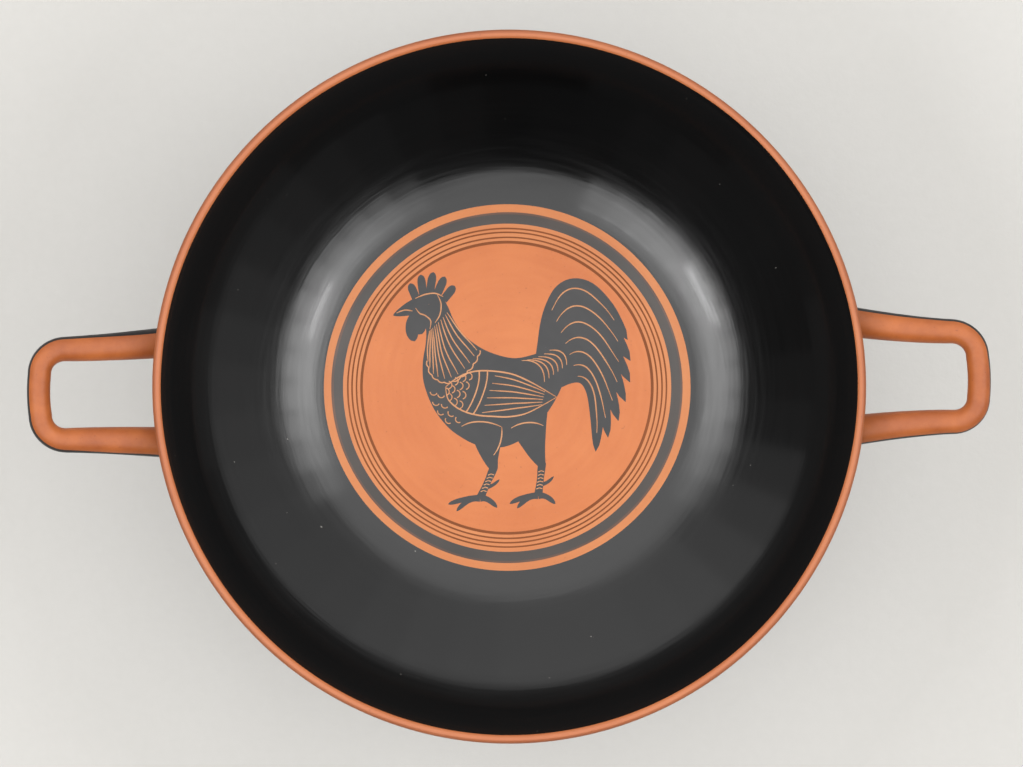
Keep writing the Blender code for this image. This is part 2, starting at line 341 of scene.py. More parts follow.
def build_bands():
    """The painted bands from the picture's edge outwards: a finish each, and where it ends at every step."""
    bands = []

    def band(finish, end, seed, size):
        bands.append((finish, end + sway(seed, size * MM)))

    def stroke(ground, start, end, seed, size):
        shared = sway(seed, SHARED_WAVER * MM)
        band(ground, PATH.inside(start * MM) + shared, seed + 1, size)
        band(LINE, PATH.inside(end * MM) + shared, seed + 2, size)

    stroke(None, PICTURE_EDGE, WIDE_LINE_END, 5, WIDE_LINE_WAVER)
    for start, end, seed in THIN_LINES:
        stroke(RING, start, end, seed, LINE_WAVER)
    for finish, radius, seed, size in INNER_BANDS:
        band(finish, PATH.inside(radius * MM), seed, size)
    band(GLAZE, PATH.inside(MOUTH_RADIUS) - BLACK_BELOW_MOUTH * MM, 433, 0.6)
    band(LIP, PATH.start["lip"] + LIP_SHADE_START * MM, 58, 0.3)
    # The lip's outer edge is clay painted darker: painted shade where the lip turns down from the light
    band(LIP_SHADE, PATH.start["outside"] + LIP_SHADE_END * MM, 45, 0.25)

    for finish, radius, seed, size in OUTER_BANDS:
        band(finish, PATH.outside(radius * MM), seed, size)
    band(GLAZE, PATH.start["foot_edge"] + FOOT_BLACK_END * MM, 55, 0.1)
    band(BARE, PATH.start["hollow"] + FOOT_BARE_END * MM, 56, 0.3)
    band(GLAZE, PATH.length, 57, 0.0)
    return bands


def turn_vertices(s):
    """Places and normals of one ring of the turned body, for lengths s at each step round it."""
    radius, height, out, up = PATH.at(s)
    places = np.column_stack([radius * np.cos(TURNS), radius * np.sin(TURNS), height])
    facing = np.column_stack([out * np.cos(TURNS), out * np.sin(TURNS), up])
    return places, facing


class Builder:
    """Collects vertices, faces, finishes and the normal of each face's corners."""

    def __init__(self):
        self.places, self.facing, self.faces, self.finishes, self.corners = [], [], [], [], []

    def add_vertices(self, places, facing):
        """Adds vertices and returns their numbers."""
        first = len(self.places)
        self.places.extend(tuple(p) for p in places)
        self.facing.extend(tuple(f) for f in facing)
        return list(range(first, len(self.places)))

    def add_face(self, face, finish, corners=None):
        self.faces.append(tuple(face))
        self.finishes.append(finish)
        self.corners.extend(corners or [self.facing[i] for i in face])

    def add_strip(self, ring_a, ring_b, finishes):
        """Quads between two closed rings of vertices, with one finish for each quad."""
        for i, finish in enumerate(finishes):
            j = (i + 1) % len(ring_a)
            self.add_face((ring_a[i], ring_b[i], ring_b[j], ring_a[j]), finish)

    def to_object(self, name, materials):
        mesh = bpy.data.meshes.new(name)
        mesh.from_pydata(self.places, [], self.faces)
        mesh.polygons.foreach_set("material_index", self.finishes)
        mesh.polygons.foreach_set("use_smooth", [True] * len(self.faces))
        kept = mesh.attributes.new("facing", "FLOAT_VECTOR", "CORNER")
        kept.data.foreach_set("vector", np.array(self.corners, np.float32).ravel())
        for material in materials:
            mesh.materials.append(material)
        made = bpy.data.objects.new(name, mesh)
        bpy.context.scene.collection.objects.link(made)
        return made


def fan(builder, ring, middle, finish, flip=False):
    """Triangles from a closed ring to one vertex."""
    for i, a in enumerate(ring):
        b = ring[(i + 1) % len(ring)]
        builder.add_face((b, a, middle) if flip else (a, b, middle), finish)


def turned_body(bands):
    """The cup without handles. A plain lid stands in for the picture's disc."""
    body = Builder()
    edge = bands[0][1]
    ring = body.add_vertices(*turn_vertices(edge))
    middle = body.add_vertices([(0, 0, FLOOR_Z)], [(0, 0, 1)])[0]
    fan(body, ring, middle, LID)

    panel_top, panel_foot = PATH.start["outside"] + PANEL_START, PATH.outside(PANEL_FOOT_RADIUS)
    panels = [k % TURN_STEPS for k in range(-PANEL_HALF, PANEL_HALF)]
    panels += [(k + TURN_STEPS // 2) % TURN_STEPS for k in panels]
    for finish, end in bands[1:]:
        steps = max(1, math.ceil(float(np.mean(end - edge)) / RING_SPACING))
        for k in range(1, steps + 1):
            s = edge + (end - edge) * k / steps
            if PATH.length - float(np.mean(s)) < PATH_STEP:
                tip = body.add_vertices([(0, 0, PATH.at(PATH.length)[1])], [(0, 0, -1)])[0]
                fan(body, ring, tip, finish, flip=True)
                return body
            fresh = body.add_vertices(*turn_vertices(s))
            finishes = [finish] * TURN_STEPS
            if panel_top < float(np.mean(s)) < panel_foot + PATH_STEP:
                for i in panels:
                    finishes[i] = BARE
            body.add_strip(ring, fresh, finishes)
            ring = fresh
        edge = end
    return body


def wall_core(materials):
    """A solid that fills the bowl out to the middle of its wall. The handles are cut back to it."""
    shares = np.linspace(0, 1, 40)
    inside = np.column_stack(bowl_inside(shares)[:2])
    outside = np.column_stack(bowl_outside(shares))
    rings = ((inside + outside) / 2)[1:]
    rings = np.vstack([rings, [rings[-1][0], CUP_HEIGHT + HANDLE_ROOT_DIAMETER]])
    core = Builder()
    bottom = core.add_vertices([(0, 0, (FLOOR_Z * 2 - FLOOR_THICKNESS) / 2)], [(0, 0, -1)])[0]
    last = None
    for radius, height in rings:
        level = np.full(TURN_STEPS, height)
        places = np.column_stack([radius * np.cos(TURNS), radius * np.sin(TURNS), level])
        ring = core.add_vertices(places, places)
        if last is None:
            fan(core, ring, bottom, GLAZE, flip=True)
        else:
            core.add_strip(ring, last, [GLAZE] * TURN_STEPS)
        last = ring
    top = core.add_vertices([(0, 0, rings[-1][1])], [(0, 0, 1)])[0]
    fan(core, last, top, GLAZE)
    return core.to_object("wall_core", materials)


def outer_wall(height):
    """The radius and lean of the bowl's outside at these heights."""
    first, last = (np.searchsorted(PATH.s, PATH.start[name]) for name in ("outside", "stem"))
    radius, rise = PATH.line[first:last][::-1].T
    out = PATH.normal[first:last, 0][::-1]
    return np.interp(height, rise, radius), np.interp(height, rise, out)


def handle_plan(reach, wall, root_spread):
    """A handle's centreline seen from above: out along one arm, across the outer bar and back, as x and y."""
    corner_bar = reach - HANDLE_TIP_DIAMETER / 2 - HANDLE_TIP_BOW
    tip_half, root_half = HANDLE_TIP_SPREAD / 2, root_spread / 2
    arm_end = corner_bar - HANDLE_CORNER_RADIUS
    x = np.linspace(wall - HANDLE_BURIED_LENGTH, arm_end, ARM_STEPS)[:-1]
    spread = ((arm_end - x) / (arm_end - wall)) ** HANDLE_ARM_CURVE
    arm = np.column_stack([x, tip_half + (root_half - tip_half) * spread])
    corner_y = tip_half - HANDLE_CORNER_RADIUS
    radius = HANDLE_CORNER_RADIUS
    corner = arc((arm_end, corner_y), radius, radius, math.pi / 2, 0, CORNER_STEPS)
    y = np.linspace(corner_y, 0, OUTER_BAR_STEPS)[1:]
    bar = np.column_stack([corner_bar + HANDLE_TIP_BOW * (1 - (y / corner_y) ** 2), y])
    half = np.vstack([arm, corner, bar])
    return np.vstack([half, (half * (1, -1))[-2::-1]])


def handle(name, side, reach, materials, root_spread, shift, skew, edge):
    """A round bar swept along a loop, bare on top and inside, black beneath and on its outer side."""
    wall = float(outer_wall(CUP_HEIGHT - HANDLE_ROOT_BELOW_LIP)[0])
    plan = handle_plan(reach, wall, root_spread)
    outwards = (plan[:, 0] - wall) / (reach - wall)
    lift = (1 - HANDLE_UPTURN) * outwards + HANDLE_UPTURN * outwards ** 2
    height = CUP_HEIGHT - HANDLE_ROOT_BELOW_LIP + (HANDLE_ROOT_BELOW_LIP - HANDLE_TIP_BELOW_LIP) * lift
    askew = shift + (plan[:, 0] - wall) * math.tan(skew)
    centre = np.column_stack([side * plan[:, 0], side * plan[:, 1] + askew, height])
    root, tip = HANDLE_ROOT_DIAMETER / 2, HANDLE_TIP_DIAMETER / 2
    thickness = root + (tip - root) * np.clip((plan[:, 0] - wall) / (reach - tip - wall), 0, 1)

    along = unit(np.gradient(centre, axis=0))
    up = unit(np.array([0, 0, 1]) - along * along[:, 2:])
    out = np.cross(up, along)

    # The bare clay runs from under the inner side, over the top, to where the outer side's black starts
    run = np.concatenate([[0], np.cumsum(np.linalg.norm(np.diff(plan, axis=0), axis=1))])
    first, last = run[plan[:, 0] > RIM_RADIUS][[0, -1]]
    shown = np.interp((run - first) / (last - first), np.linspace(0, 1, len(edge)), np.array(edge) * MM)
    soft = np.hanning(BLACK_SMOOTHING)
    shown = np.pad(shown, BLACK_SMOOTHING // 2, mode="edge")
    shown = np.convolve(shown, soft / soft.sum(), mode="valid")
    waver = sway(60 + side, BLACK_WAVER)
    waver = np.interp(np.linspace(0, TURN_STEPS, len(plan)), np.arange(TURN_STEPS), waver)
    outer_edge = np.arcsin(1 - shown / thickness) + waver
    inner_edge = BLACK_END + 2 * waver[::-1]
    half_count = BAR_STEPS // 2
    shares = np.linspace(0, 1, half_count + 1)[:-1]
    bare = inner_edge[:, None] + (outer_edge - inner_edge)[:, None] * shares
    black = outer_edge[:, None] + (inner_edge + 2 * math.pi - outer_edge)[:, None] * shares
    angles = np.hstack([bare, black])

    spoke = up[:, None] * np.cos(angles)[..., None] + out[:, None] * np.sin(angles)[..., None]
    places = centre[:, None] + thickness[:, None, None] * spoke

    # The clay swells where the bar comes near the wall
    for _ in range(2):
        wall_radius, lean = outer_wall(places[..., 2])
        gap = (np.hypot(places[..., 0], places[..., 1]) - wall_radius) * lean
        flare = FILLET * np.clip(1 - np.clip(gap, 0, None) / FILLET_REACH, 0, 1) ** 2
        places = centre[:, None] + (thickness[:, None] + flare)[..., None] * spoke

    across = np.roll(places, -1, axis=1) - np.roll(places, 1, axis=1)
    facing = unit(np.cross(across, np.gradient(places, axis=0)))
    facing *= np.sign(np.sum(facing * spoke, axis=2))[..., None]

    bar = Builder()
    rings = [bar.add_vertices(places[i], facing[i]) for i in range(len(places))]
    finishes = [BARE] * half_count + [OUTER_GLAZE] * half_count
    for a, b in zip(rings, rings[1:]):
        bar.add_strip(a, b, finishes)
    for ring, middle, flip in ((rings[0], centre[0], False), (rings[-1], centre[-1], True)):
        cap = bar.add_vertices([middle], [along[0]])[0]
        fan(bar, ring, cap, BARE, flip)
    return bar.to_object(name, materials)


def cut_or_join(target, other, operation):
    boolean = target.modifiers.new(other.name, "BOOLEAN")
    boolean.operation = operation
    boolean.object = other
    boolean.solver = "EXACT"


def cup_surface(x, y):
    """Height and normal of the bowl's floor at places in metres."""
    share = np.hypot(x, y) / MOUTH_RADIUS
    radius, height, slope = bowl_inside(share)
    radius = np.maximum(radius, 1e-9)
    facing = np.column_stack([-x / radius * np.sin(slope), -y / radius * np.sin(slope), np.cos(slope)])
    return height, facing


def add_picture(builder, ring_places, ring):
    """Fills the ring with the picture: its outlines cut into the mesh, and the scratches sunk into it."""
    dark, scratches = picture()
    outlines = [[tuple(p) for p in ring_places[:, :2] / MM]] + dark + [outline for outline, _, _ in scratches]
    points, faces, edges = [], [], []
    for outline in outlines:
        faces.append(list(range(len(points), len(points) + len(outline))))
        points.extend(outline)
    for _, path, _ in scratches:
        first = len(points)
        points.extend(path[1:-1])
        edges.extend((i, i + 1) for i in range(first, len(points) - 1))
    limit = float(np.min(np.hypot(*ring_places[:, :2].T))) / MM - GRID_STEP * GRID_MARGIN
    cells = int(limit / GRID_STEP) + 1
    for i in range(-cells, cells + 1):
        for j in range(-cells, cells + 1):
            spot = ((i + 0.5 * (j % 2)) * GRID_STEP, j * GRID_STEP * GRID_ROW)
            if math.hypot(*spot) < limit:
                points.append(spot)
    cut = delaunay_2d_cdt([Vector(p) for p in points], edges, faces, 1, 1e-5)
    flat, _, triangles, sources, _, face_sources = cut

    flat = np.array([tuple(v) for v in flat])
    finishes = []
    for origin in face_sources:
        is_dark = any(1 <= i <= len(dark) for i in origin)
        is_scratch = any(i > len(dark) for i in origin)
        finishes.append(SCRATCH if is_dark and is_scratch else FIGURE if is_dark else FIELD)

    # A vertex is sunk where all the faces round it are scratched
    open_to = np.ones(len(flat), bool)
    for triangle, finish in zip(triangles, finishes):
        if finish != SCRATCH:
            open_to[list(triangle)] = False
    depth = np.zeros(len(flat))
    sunk = np.flatnonzero(open_to)
    for _, path, half in scratches:
        line = np.array(path)
        near = sunk[np.all((flat[sunk] > line.min(0) - 1) & (flat[sunk] < line.max(0) + 1), axis=1)]
        if not len(near):
            continue
        a, step = line[:-1], np.diff(line, axis=0)
        spots = flat[near][:, None]
        t = np.clip(np.sum((spots - a) * step, 2) / np.maximum(np.sum(step * step, 1), 1e-9), 0, 1)
        apart = np.min(np.linalg.norm(spots - (a + t[..., None] * step), axis=2), axis=1)
        depth[near] = np.maximum(depth[near], SCRATCH_DEPTH * np.clip(1 - (apart / half) ** 2, 0, 1))

    height, facing = cup_surface(flat[:, 0] * MM, flat[:, 1] * MM)
    places = np.column_stack([flat * MM, height - depth])
    numbers = [None] * len(flat)
    for i, origin in enumerate(sources):
        on_ring = [k for k in origin if k < len(ring)]
        if on_ring:
            numbers[i] = ring[on_ring[0]]
    fresh = [i for i, n in enumerate(numbers) if n is None]
    for i, number in zip(fresh, builder.add_vertices(places[fresh], facing[fresh])):
        numbers[i] = number
    for triangle, finish in zip(triangles, finishes):
        corners = [tuple(facing[i]) for i in triangle]
        if finish == SCRATCH:
            a, b, c = (places[i] for i in triangle)
            flat_normal = np.cross(b - a, c - a)
            length = np.linalg.norm(flat_normal)
            if length > 1e-14:
                corners = [tuple(flat_normal / length)] * 3
        builder.add_face([numbers[i] for i in triangle], finish, corners)


def finished_cup(materials):
    """Joins the handles to the turned body, then swaps the plain lid for the picture."""
    bands = build_bands()
    slots = materials + [materials[GLAZE]]
    draft = turned_body(bands).to_object("draft", slots)
    core = wall_core(slots)
    handles = [handle("left_bar", -1, -CUP_LOW.x, slots, **LEFT_HANDLE),
               handle("right_bar", 1, CUP_HIGH.x, slots, **RIGHT_HANDLE)]
    for bar in handles:
        cut_or_join(bar, core, "DIFFERENCE")
        cut_or_join(draft, bar, "UNION")
    joined = draft.evaluated_get(bpy.context.evaluated_depsgraph_get()).to_mesh()

    cup = Builder()
    count = len(joined.vertices)
    places = np.empty(count * 3)
    joined.vertices.foreach_get("co", places)
    places = places.reshape(-1, 3)
    cup.add_vertices(places, np.zeros((count, 3)))
    facing = np.empty(len(joined.loops) * 3)
    joined.attributes["facing"].data.foreach_get("vector", facing)
    facing = facing.reshape(-1, 3)
    facing /= np.maximum(np.linalg.norm(facing, axis=1), 1e-9)[:, None]
    for face in joined.polygons:
        if face.material_index != LID:
            corners = [tuple(facing[i]) for i in face.loop_indices]
            cup.add_face(face.vertices, face.material_index, corners)

    ring_places = turn_vertices(bands[0][1])[0]
    tree = kdtree.KDTree(count)
    for i, place in enumerate(places):
        tree.insert(place, i)
    tree.balance()
    ring = [tree.find(place)[1] for place in ring_places]
    add_picture(cup, ring_places, ring)

    for helper in [draft, core, *handles]:
        bpy.data.objects.remove(helper)
    made = cup.to_object("kylix_cup_glazed", materials)
    made.data.normals_split_custom_set(cup.corners)
    made.data.attributes.remove(made.data.attributes["facing"])
    return made


def mix(a, b, share):
    return tuple(p + (q - p) * share for p, q in zip(a, b))


def curve_through(points, steps, closed=False):
    """A smooth curve through the points, with steps points to each stretch."""
    count = len(points)
    path = []
    for i in range(count if closed else count - 1):
        near = [i + k for k in (-1, 0, 1, 2)]
        near = [points[n % count if closed else min(max(n, 0), count - 1)] for n in near]
        for j in range(steps):
            t = j / steps
            weights = (-0.5 * t + t * t - 0.5 * t ** 3, 1 - 2.5 * t * t + 1.5 * t ** 3,
                       0.5 * t + 2 * t * t - 1.5 * t ** 3, -0.5 * t * t + 0.5 * t ** 3)
            path.append(tuple(sum(w * p[k] for w, p in zip(weights, near)) for k in (0, 1)))
    return path if closed else path + [tuple(points[-1])]


def bend(start, pull, end, steps=14):
    """A curve from start to end that leans towards the pull point."""
    return [mix(mix(start, pull, t), mix(pull, end, t), t) for t in (i / steps for i in range(steps + 1))]


def curl(x, y, radius, middle, reach):
    """A small arc about a place, from its middle turn to reach degrees on either side."""
    turns = (math.radians(middle - reach + 2 * reach * j / 8) for j in range(9))
    return [(x + radius * math.cos(turn), y + radius * math.sin(turn)) for turn in turns]


def ribbon(path, half_widths):
    """The closed outline of a ribbon about a path, with a half width at each of its points."""
    left, right = [], []
    for i, ((x, y), half) in enumerate(zip(path, half_widths)):
        a, b = path[max(i - 1, 0)], path[min(i + 1, len(path) - 1)]
        dx, dy = b[0] - a[0], b[1] - a[1]
        scale = half / (math.hypot(dx, dy) or 1)
        left.append((x - dy * scale, y + dx * scale))
        right.append((x + dy * scale, y - dx * scale))
    return left + right[::-1]


def feather(start, pull, end, root, wide, steps=18):
    """A feather's outline and quill: root wide at its start, wide past its middle, and closing to a point."""
    quill = bend(start, pull, end, steps)
    widest, narrowest = 0.62, 0.12
    half = []
    for i in range(steps + 1):
        t = i / steps
        swell = root + (wide - root) * math.sin(min(t / widest, 1) * math.pi / 2)
        close = 1 if t < widest else math.sqrt(max(1 - ((t - widest) / 0.38) ** 2, 0))
        half.append(max(swell * close / 2, narrowest))
    return ribbon(quill, half), quill


class Drawing:
    """A picture's dark shapes, and the strokes scratched through them, each with its line and half width."""

    def __init__(self):
        self.dark, self.scratches = [], []

    def shape(self, outline):
        self.dark.append(leftwards([settle(p) for p in outline]))

    def scratch(self, path, half=0.3, taper=True):
        path = [settle(p) for p in path]
        count = len(path) - 1
        ends = [min(min(i, count - i) / max(count * 0.25, 1), 1) for i in range(count + 1)]
        widths = [half * (0.45 + 0.55 * e) if taper else half for e in ends]
        self.scratches.append((leftwards(ribbon(path, widths)), path, half))


def leftwards(outline):
    """The outline in the order that turns left, which the triangulation needs to know its inside."""
    area = sum(a[0] * b[1] - b[0] * a[1] for a, b in zip(outline, outline[1:] + outline[:1]))
    return outline if area > 0 else outline[::-1]


def settle(point):
    """Puts a drawn point in its place on the bowl's floor, with a little of the hand's waver."""
    x, y = (PICTURE_SCALE * p + shift for p, shift in zip(point, PICTURE_SHIFT))
    place = Vector((x, y, 0)) / WAVER_LENGTH
    return x + WAVER_SIZE * noise.noise(place), y + WAVER_SIZE * noise.noise(place + WAVER_APART)


def draw_tail(drawing):
    """Long tail plumes that arch up, over and down, the far ones first."""
    count = 7
    for i in reversed(range(count)):
        u = i / (count - 1)
        angle = math.radians(20 - 58 * u)
        reach = 54 - 8 * u
        end = (reach * math.cos(angle), reach * math.sin(angle))
        start, pull = (14 + 8 * u, 12 - 11 * u), (23 + 18 * u, 66 - 53 * u)
        outline, quill = feather(start, pull, end, 4, 8.6 - 2.2 * u, 30)
        drawing.shape(outline)
        drawing.scratch(quill[7:-3])


def draw_leg(drawing, hip, knee, ankle, toes):
    """A feathered thigh, a scaled shank with its spur, and the toes."""
    thigh = bend(hip, ((hip[0] + knee[0]) / 2 - 2, (hip[1] + knee[1]) / 2), knee, 10)
    drawing.shape(ribbon(thigh, [8.5 - 6.8 * (i / 10) ** 1.3 for i in range(11)]))
    start = mix(knee, ankle, -0.25)
    drawing.shape(ribbon([mix(start, ankle, i / 6) for i in range(7)], [0.6, 1.7, 1.7, 1.5, 1.5, 1.6, 1.8]))
    for toe in toes:
        arch = ((ankle[0] + toe[0]) / 2, ankle[1] + 0.5)
        drawing.shape(feather(ankle, arch, toe, 3, 2.2, 16)[0])
    spur = mix(knee, ankle, 0.62)
    drawing.shape(feather(spur, (spur[0] + 3, spur[1] - 0.5), (spur[0] + 6, spur[1] + 3), 2.4, 1.4, 8)[0])
    for i in range(6):
        x, y = mix(knee, ankle, 0.2 + 0.11 * i)
        drawing.scratch([(x - 1.25, y - 0.35), (x, y + 0.1), (x + 1.25, y - 0.35)], 0.2, taper=False)


def draw_comb_and_wattles(drawing):
    """The beak, the five points of the comb and the two wattles."""
    beak = [(-37, 38), (-42, 36.2), (-47.6, 31.6), (-46.2, 30.6), (-41, 30.8), (-37, 31)]
    drawing.shape(curve_through(beak, 6, closed=True))
    for i in range(5):
        u = i / 4
        root = (-38 + 11.5 * u, 37 + 2.6 * math.sin(math.pi * u))
        lean = math.radians(108 - 58 * u)
        height = 6.2 + 3.2 * math.sin(math.pi * (0.15 + 0.7 * u))
        tip = (root[0] + height * math.cos(lean), root[1] + height * math.sin(lean))
        drawing.shape(feather(root, mix(root, tip, 0.5), tip, 3.4, 3.6, 20)[0])
    for across, drop in ((0, 12.5), (3.2, 9.5)):
        start = (-38 + across, 32.5)
        drawing.shape(feather(start, (-41.5 + across, 27), (-39 + across, 32.5 - drop), 2.5, 5.4, 20)[0])


def draw_head_lines(drawing):
    """The eye, the ear, the beak's parting, the comb's root and the edge of the face."""
    circle = [(math.cos(2 * math.pi * i / 20), math.sin(2 * math.pi * i / 20)) for i in range(21)]
    for centre, across, up, half in (((-34.6, 35.4), 2, 1.8, 0.28), ((-34.8, 35.4), 0.6, 0.6, 0.24),
                                     ((-30.4, 31.2), 1.3, 1.9, 0.24)):
        drawing.scratch([(centre[0] + across * x, centre[1] + up * y) for x, y in circle], half, taper=False)
    for half, *points in ((0.26, (-46.4, 32), (-43, 33.1), (-39.6, 32.6)),
                          (0.3, (-38.6, 37.9), (-34.4, 39.6), (-30, 39.9), (-26.6, 38.4)),
                          (0.28, (-38.4, 33.8), (-36.6, 31.6), (-34.4, 30.8), (-32.2, 28.6), (-32.6, 25)),
                          (0.28, (-29, 39.2), (-27.6, 35.6), (-28.2, 31), (-30.4, 27.6))):
        drawing.scratch(curve_through(points, 5), half)


def draw_hackle(drawing):
    """The long neck feathers, fanning from the head over a cape with a scalloped edge."""
    collar = curve_through([(-32.9, 25), (-31.4, 27.2), (-28.8, 30), (-25.6, 33.2)], 12)
    cape = [(-34, 11.5), (-32, 5.5), (-27, 2.5), (-20, 4.5), (-14.5, 10), (-11.5, 15.6)]
    cape = curve_through(cape, 12)
    locks = 11
    for i in range(locks):
        u = (i + 0.5) / locks
        top, foot = (line[round(u * (len(line) - 1))] for line in (collar, cape))
        sway_size = 1.6 * math.sin(2.2 * math.pi * u)
        x, y = mix(top, foot, 0.5)
        middle = (x + sway_size * 0.6 - 0.8, y - sway_size * 0.4)
        drawing.scratch(curve_through([mix(top, foot, 0.06), middle, mix(top, foot, 0.94)], 8), 0.28)
    scallops = 10
    for i in range(scallops):
        a, b = (cape[round(k / scallops * (len(cape) - 1))] for k in (i, i + 1))
        x, y = mix(a, b, 0.5)
        hang = (x + 0.42 * (b[1] - a[1]), y - 0.42 * (b[0] - a[0]))
        drawing.scratch(bend(a, hang, b, 7), 0.28, taper=False)


def draw_wing(drawing):
    """The folded wing: small scaled feathers in front of a double band, and long feathers behind it."""
    top = curve_through([(-26.5, 0.5), (-21, 4.4), (-12, 7), (0, 5.6), (10, 1.6), (20.5, -5)], 10)
    foot = [(-26.5, 0.5), (-25, -5.5), (-18, -10.4), (-7, -12.6), (6, -12), (20.5, -5)]
    foot = curve_through(foot, 10)

    def across(share, u):
        return mix(top[round(share * (len(top) - 1))], foot[round(share * (len(foot) - 1))], u)

    drawing.scratch(top, 0.34)
    drawing.scratch(foot, 0.34)
    for share in (0.4, 0.46):
        x, y = across(share, 0.5)
        drawing.scratch(bend(across(share, 0), (x + 3, y), across(share, 1), 9), taper=False)
    for share, spots in ((0.13, 2), (0.2, 3), (0.27, 4), (0.34, 4)):
        for k in range(spots):
            x, y = across(share, (k + 0.5) / spots)
            drawing.scratch(curl(x - 1, y, 1.6, 0, 80), 0.24, taper=False)
    quills = 6
    for i in range(quills):
        u = (i + 0.6) / quills
        start, end = across(0.52, u), across(0.9, u)
        x, y = mix(start, end, 0.5)
        drawing.scratch(bend(start, (x, y + 1.8 - 2.2 * u), end, 10), 0.28)


def draw_body_lines(drawing):
    """The plumes over the tail's root, the edges of the thighs, and two rows of small breast feathers."""
    for i in range(6):
        u = i / 5
        start = (6 + 2.4 * i, 10.8 + 4.2 * u * u)
        end = (15.5 + 1.9 * i, 1.6 + 1.4 * i)
        drawing.scratch(bend(start, (end[0] + 0.4, start[1] + 0.4), end, 10), 0.28)
    for start, pull, end in (((-20, -16.5), (-13.5, -12.5), (-3.2, -17)),
                             ((-3.2, -17), (-2.8, -24), (-6.8, -29)),
                             ((1, -17.6), (8, -13.5), (14.6, -17))):
        drawing.scratch(bend(start, pull, end, 10))
    for x, y, lean in ((-31.6, -1.5, -100), (-30.6, -5.9, -108), (-28.6, -10, -122), (-25.4, -13.6, -134),
                       (-28.4, -2.6, -100), (-26.9, -7.1, -114), (-24.2, -10.6, -130), (-21, -13.3, -142)):
        drawing.scratch(curl(x, y, 1.5, lean, 75), 0.24, taper=False)


def picture():
    """A generic cockerel in the black-figure way: dark shapes, the far ones first, and scratched strokes."""
    drawing = Drawing()
    draw_tail(drawing)
    far_toes = ((-0.5, -49.5), (2.5, -51.5), (18.5, -50))
    near_toes = ((-26.5, -49), (-23, -52), (-6, -51))
    draw_leg(drawing, (8, -12), (13.5, -33.5), (11.5, -46.5), far_toes)
    draw_leg(drawing, (-9, -12), (-7, -34.5), (-13, -47), near_toes)
    draw_comb_and_wattles(drawing)
    body = [
        (-37, 38), (-33, 41), (-28.5, 40), (-25, 35), (-22, 28), (-16.5, 20.5),
        (-8, 15), (2, 12), (12, 13.5), (20, 18), (25, 13), (24.5, 4),
        (20.5, -5), (14.5, -14), (7, -21.5), (-2, -25.5), (-12, -25), (-22, -20),
        (-30, -11.5), (-34.8, -1), (-36, 9), (-34.6, 18), (-34.2, 25), (-36, 30),
        (-38.5, 33.5),
    ]
    drawing.shape(curve_through(body, 6, closed=True))
    draw_head_lines(drawing)
    draw_hackle(drawing)
    draw_wing(drawing)
    draw_body_lines(drawing)
    return drawing.dark, drawing.scratches


class Nodes:
    """Adds shader nodes to one material and links them."""

    def __init__(self, name):
        self.material = bpy.data.materials.new(name)
        self.material.use_nodes = True
        self.tree = self.material.node_tree
        self.shader = self.tree.nodes["Principled BSDF"]
        self.place = self.add("ShaderNodeTexCoord").outputs["Object"]

    def add(self, kind, **settings):
        node = self.tree.nodes.new(kind)
        for name, value in settings.items():
            if hasattr(node, name):
                setattr(node, name, value)
            else:
                self.feed(node.inputs[name], value)
        return node

    def feed(self, socket, value):
        if isinstance(value, bpy.types.NodeSocket):
            self.tree.links.new(value, socket)
        else:
            socket.default_value = (*value, 1) if isinstance(value, tuple) else value

    def maths(self, operation, *values):
        node = self.add("ShaderNodeMath", operation=operation)
        for socket, value in zip(node.inputs, values):
            self.feed(socket, value)
        return node.outputs[0]

    def weigh(self, first, share, second, other_share):
        """The sum of two values, each times its share."""
        first = self.maths("MULTIPLY", first, share)
        return self.maths("ADD", first, self.maths("MULTIPLY", second, other_share))

    def noise(self, vector, scale, detail=3.0, roughness=0.5):
        node = self.add("ShaderNodeTexNoise", Vector=vector, Scale=scale, Detail=detail, Roughness=roughness)
        return node.outputs["Fac"]

    def span(self, value, low, high, to_low, to_high):
        node = self.add("ShaderNodeMapRange")
        for i, fed in enumerate((value, low, high, to_low, to_high)):
            self.feed(node.inputs[i], fed)
        return node.outputs[0]

    def blend(self, share, first, second):
        node = self.add("ShaderNodeMix", data_type="RGBA")
        for i, fed in ((0, share), (6, first), (7, second)):
            self.feed(node.inputs[i], fed)
        return node.outputs[2]

    def split(self):
        """The place's three parts, and its distance from the cup's axis."""
        x, y, z = self.add("ShaderNodeSeparateXYZ", Vector=self.place).outputs
        squares = self.maths("ADD", self.maths("MULTIPLY", x, x), self.maths("MULTIPLY", y, y))
        return x, y, z, self.maths("SQRT", squares)

    def around(self, turns, per_metre):
        """A place along the potter's wheel marks: slow round the axis, and quick across the marks."""
        x, y, z, radius = self.split()
        safe = self.maths("ADD", radius, 0.002)
        x, y = (self.maths("MULTIPLY", self.maths("DIVIDE", part, safe), turns) for part in (x, y))
        across = self.maths("ADD", radius, self.maths("MULTIPLY", z, 0.7))
        z = self.maths("MULTIPLY", across, per_metre)
        return self.add("ShaderNodeCombineXYZ", X=x, Y=y, Z=z).outputs[0]

    def bump(self, height, distance):
        node = self.add("ShaderNodeBump", Height=height, Distance=distance, Strength=1.0)
        self.feed(self.shader.inputs["Normal"], node.outputs[0])

    def finish(self, colour, roughness):
        self.feed(self.shader.inputs["Base Color"], colour)
        self.feed(self.shader.inputs["Roughness"], roughness)
        return self.material


